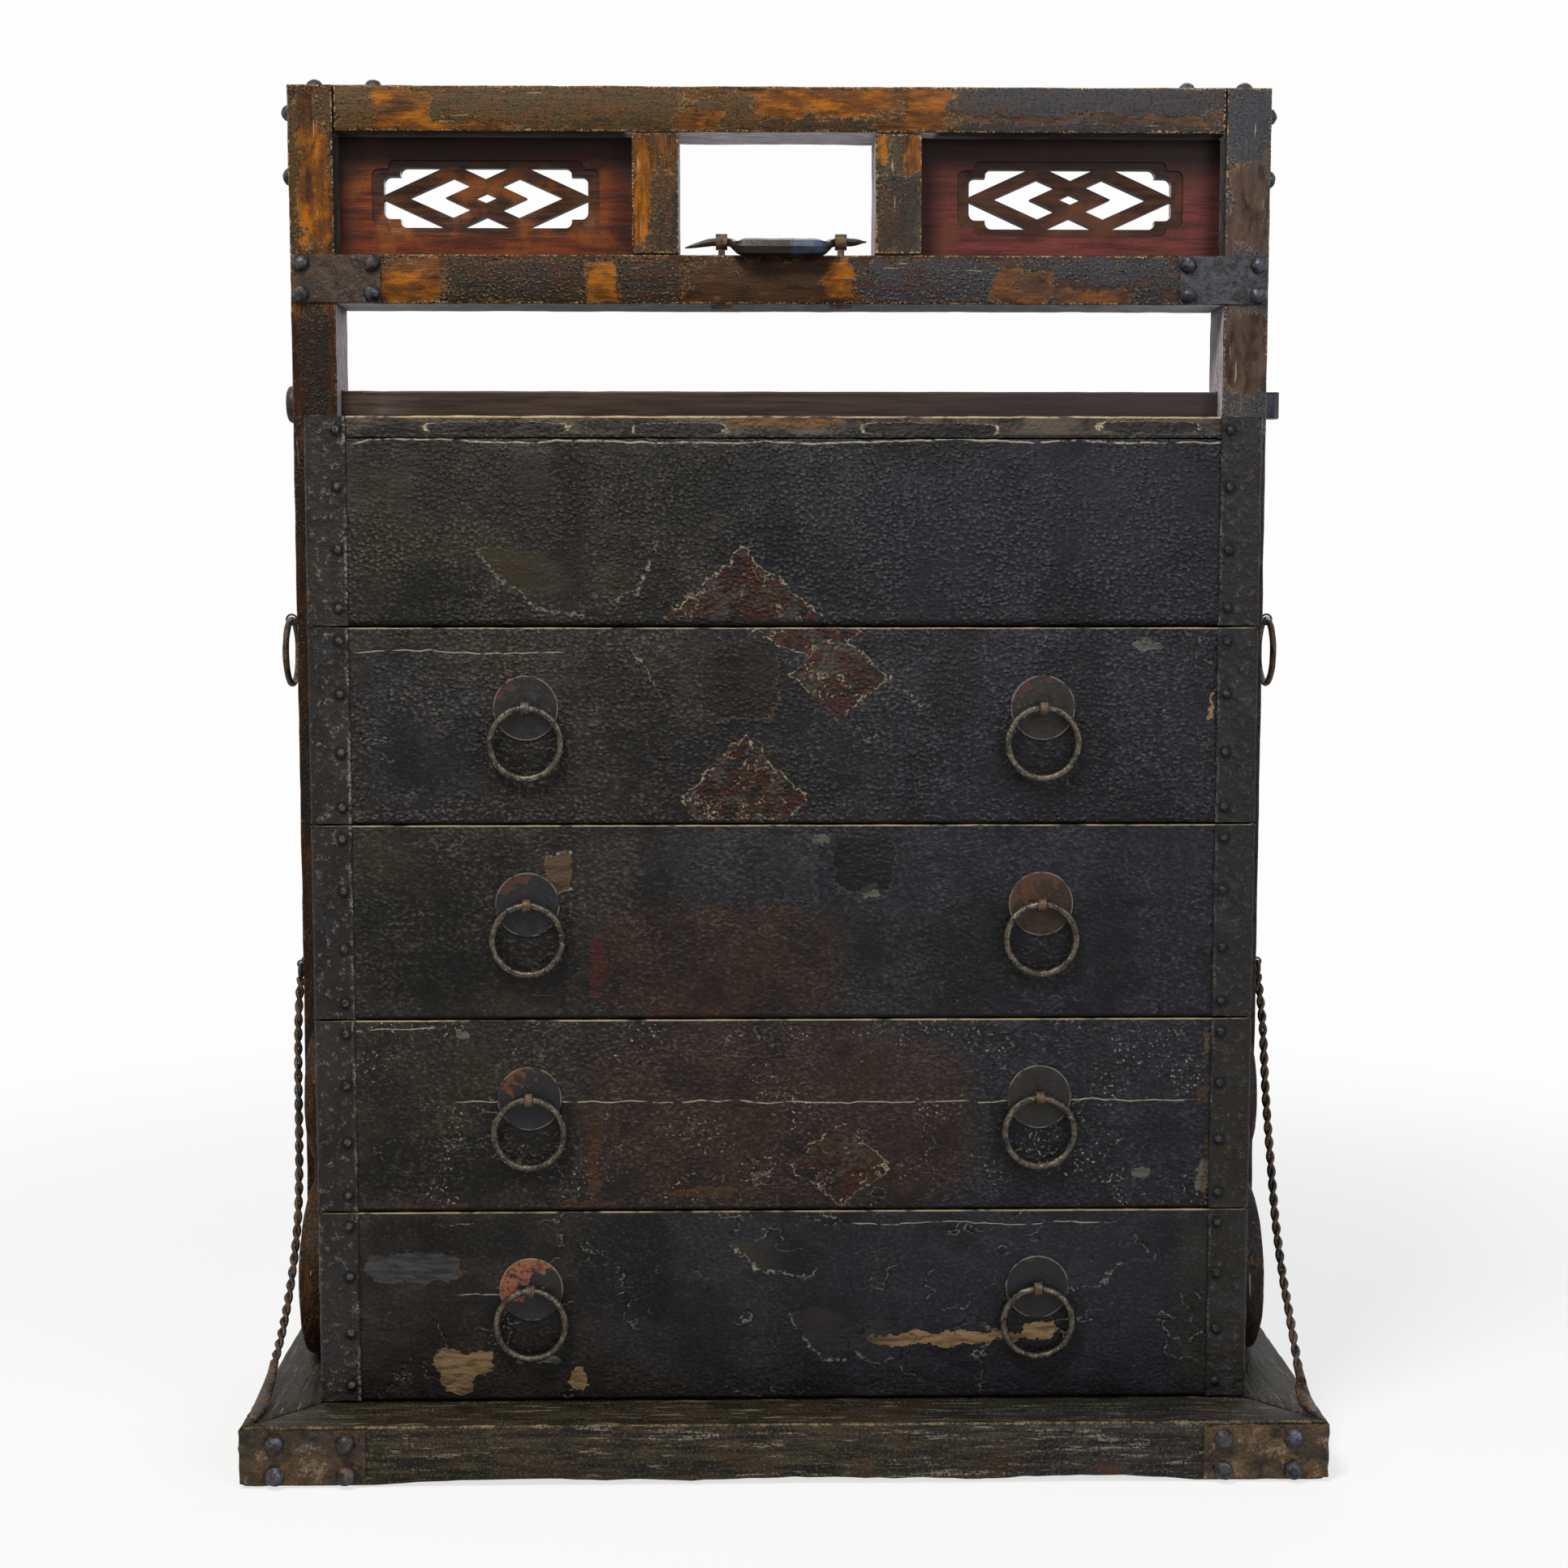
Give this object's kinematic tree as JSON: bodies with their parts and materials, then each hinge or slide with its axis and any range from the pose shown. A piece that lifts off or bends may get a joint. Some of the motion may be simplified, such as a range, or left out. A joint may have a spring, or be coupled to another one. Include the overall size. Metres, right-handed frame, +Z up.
{
  "type": "stacked tray carrier",
  "caption": "Lacquered wooden carrier with a fretwork yoke, a stack of trays under a deep lid, a locking bar and iron rings.",
  "frame": {"origin": "middle of the base on the floor", "axes": "+Z up, X along the width with +X to the right seen from the front, +Y from the front to the back"},
  "size_m": [1.068, 0.618, 1.3885],
  "materials": {
    "box_lacquer": "aged black lacquer over wood",
    "strip_iron": "thin iron strip, lacquered over and worn",
    "frame_lacquer": "worn lacquer over orange-brown wood",
    "base_lacquer": "worn dark olive lacquer over wood",
    "panel_lacquer": "worn dark red lacquer over wood",
    "bare_wood": "bare aged wood",
    "bar_wood": "dark oiled wood",
    "wrought_iron": "forged iron with old rust"
  },
  "bodies": {
    "frame": {"base_front_rail": "base_lacquer", "base_rear_rail": "base_lacquer", "base_left_rail": "base_lacquer", "base_right_rail": "base_lacquer", "base_corner_straps": "wrought_iron", "base_nails": "wrought_iron", "top_corner_straps": "wrought_iron", "joint_plates": "wrought_iron", "frame_nails": "wrought_iron", "stay_eyes": "wrought_iron", "side_ring_eyes": "wrought_iron", "bail_eyes": "wrought_iron", "top_rail": "frame_lacquer", "lower_rail": "frame_lacquer", "upright_left": "frame_lacquer", "strut_left": "frame_lacquer", "panel_left": "panel_lacquer", "spandrel_left_front": "frame_lacquer", "stay_left_front": "wrought_iron", "spandrel_left_rear": "frame_lacquer", "stay_left_rear": "wrought_iron", "upright_right": "frame_lacquer", "strut_right": "frame_lacquer", "panel_right": "panel_lacquer", "spandrel_right_front": "frame_lacquer", "stay_right_front": "wrought_iron", "spandrel_right_rear": "frame_lacquer", "stay_right_rear": "wrought_iron"},
    "bail": {"bail_handle": "wrought_iron"},
    "bar": {"locking_bar": "bar_wood"},
    "lid": {"lid_top": "box_lacquer", "lid_walls": "box_lacquer", "lid_corner_strips": "strip_iron"},
    "side_ring_left_body": {"side_ring_left": "wrought_iron"},
    "side_ring_right_body": {"side_ring_right": "wrought_iron"},
    "tray_1": {"tray_1_walls": "box_lacquer", "tray_1_floor": "bare_wood", "tray_1_corner_strips": "strip_iron", "tray_1_ring_mounts": "wrought_iron"},
    "tray_1_ring_left_body": {"tray_1_ring_left": "wrought_iron"},
    "tray_1_ring_right_body": {"tray_1_ring_right": "wrought_iron"},
    "tray_2": {"tray_2_walls": "box_lacquer", "tray_2_floor": "bare_wood", "tray_2_corner_strips": "strip_iron", "tray_2_ring_mounts": "wrought_iron"},
    "tray_2_ring_left_body": {"tray_2_ring_left": "wrought_iron"},
    "tray_2_ring_right_body": {"tray_2_ring_right": "wrought_iron"},
    "tray_3": {"tray_3_walls": "box_lacquer", "tray_3_floor": "bare_wood", "tray_3_corner_strips": "strip_iron", "tray_3_ring_mounts": "wrought_iron"},
    "tray_3_ring_left_body": {"tray_3_ring_left": "wrought_iron"},
    "tray_3_ring_right_body": {"tray_3_ring_right": "wrought_iron"},
    "tray_4": {"tray_4_walls": "box_lacquer", "tray_4_floor": "bare_wood", "tray_4_corner_strips": "strip_iron", "tray_4_ring_mounts": "wrought_iron"},
    "tray_4_ring_left_body": {"tray_4_ring_left": "wrought_iron"},
    "tray_4_ring_right_body": {"tray_4_ring_right": "wrought_iron"}
  },
  "joints": [
    {"name": "tray_4_slide", "type": "slide", "parent": "frame", "child": "tray_4", "axis": [0, -1, 0], "range_m": [0, 0.28]},
    {"name": "tray_3_slide", "type": "slide", "parent": "tray_4", "child": "tray_3", "axis": [0, -1, 0], "range_m": [0, 0.28]},
    {"name": "tray_2_slide", "type": "slide", "parent": "tray_3", "child": "tray_2", "axis": [0, -1, 0], "range_m": [0, 0.28]},
    {"name": "tray_1_slide", "type": "slide", "parent": "tray_2", "child": "tray_1", "axis": [0, -1, 0], "range_m": [0, 0.28]},
    {"name": "lid_slide", "type": "slide", "parent": "tray_1", "child": "lid", "axis": [0, -1, 0], "range_m": [0, 0.28]},
    {"name": "locking_bar_slide", "type": "slide", "parent": "frame", "child": "bar", "axis": [-1, 0, 0], "range_m": [0, 0.98]},
    {"name": "bail_hinge", "type": "hinge", "parent": "frame", "child": "bail", "pos_m": [0, -0.026, 1.2219], "axis": [-1, 0, 0], "range_deg": [0, 190]},
    {"name": "side_ring_left_hinge", "type": "hinge", "parent": "frame", "child": "side_ring_left_body", "pos_m": [-0.52, 0, 0.83], "axis": [0, 1, 0], "range_deg": [0, 170]},
    {"name": "side_ring_right_hinge", "type": "hinge", "parent": "frame", "child": "side_ring_right_body", "pos_m": [0.52, 0, 0.83], "axis": [0, -1, 0], "range_deg": [0, 170]},
    {"name": "tray_1_ring_left_hinge", "type": "hinge", "parent": "tray_1", "child": "tray_1_ring_left_body", "pos_m": [-0.25, -0.243, 0.7482], "axis": [-1, 0, 0], "range_deg": [0, 175]},
    {"name": "tray_1_ring_right_hinge", "type": "hinge", "parent": "tray_1", "child": "tray_1_ring_right_body", "pos_m": [0.25, -0.243, 0.7482], "axis": [-1, 0, 0], "range_deg": [0, 175]},
    {"name": "tray_2_ring_left_hinge", "type": "hinge", "parent": "tray_2", "child": "tray_2_ring_left_body", "pos_m": [-0.25, -0.243, 0.5569], "axis": [-1, 0, 0], "range_deg": [0, 175]},
    {"name": "tray_2_ring_right_hinge", "type": "hinge", "parent": "tray_2", "child": "tray_2_ring_right_body", "pos_m": [0.25, -0.243, 0.5569], "axis": [-1, 0, 0], "range_deg": [0, 175]},
    {"name": "tray_3_ring_left_hinge", "type": "hinge", "parent": "tray_3", "child": "tray_3_ring_left_body", "pos_m": [-0.25, -0.243, 0.3656], "axis": [-1, 0, 0], "range_deg": [0, 175]},
    {"name": "tray_3_ring_right_hinge", "type": "hinge", "parent": "tray_3", "child": "tray_3_ring_right_body", "pos_m": [0.25, -0.243, 0.3656], "axis": [-1, 0, 0], "range_deg": [0, 175]},
    {"name": "tray_4_ring_left_hinge", "type": "hinge", "parent": "tray_4", "child": "tray_4_ring_left_body", "pos_m": [-0.25, -0.243, 0.1743], "axis": [-1, 0, 0], "range_deg": [0, 175]},
    {"name": "tray_4_ring_right_hinge", "type": "hinge", "parent": "tray_4", "child": "tray_4_ring_right_body", "pos_m": [0.25, -0.243, 0.1743], "axis": [-1, 0, 0], "range_deg": [0, 175]}
  ]
}
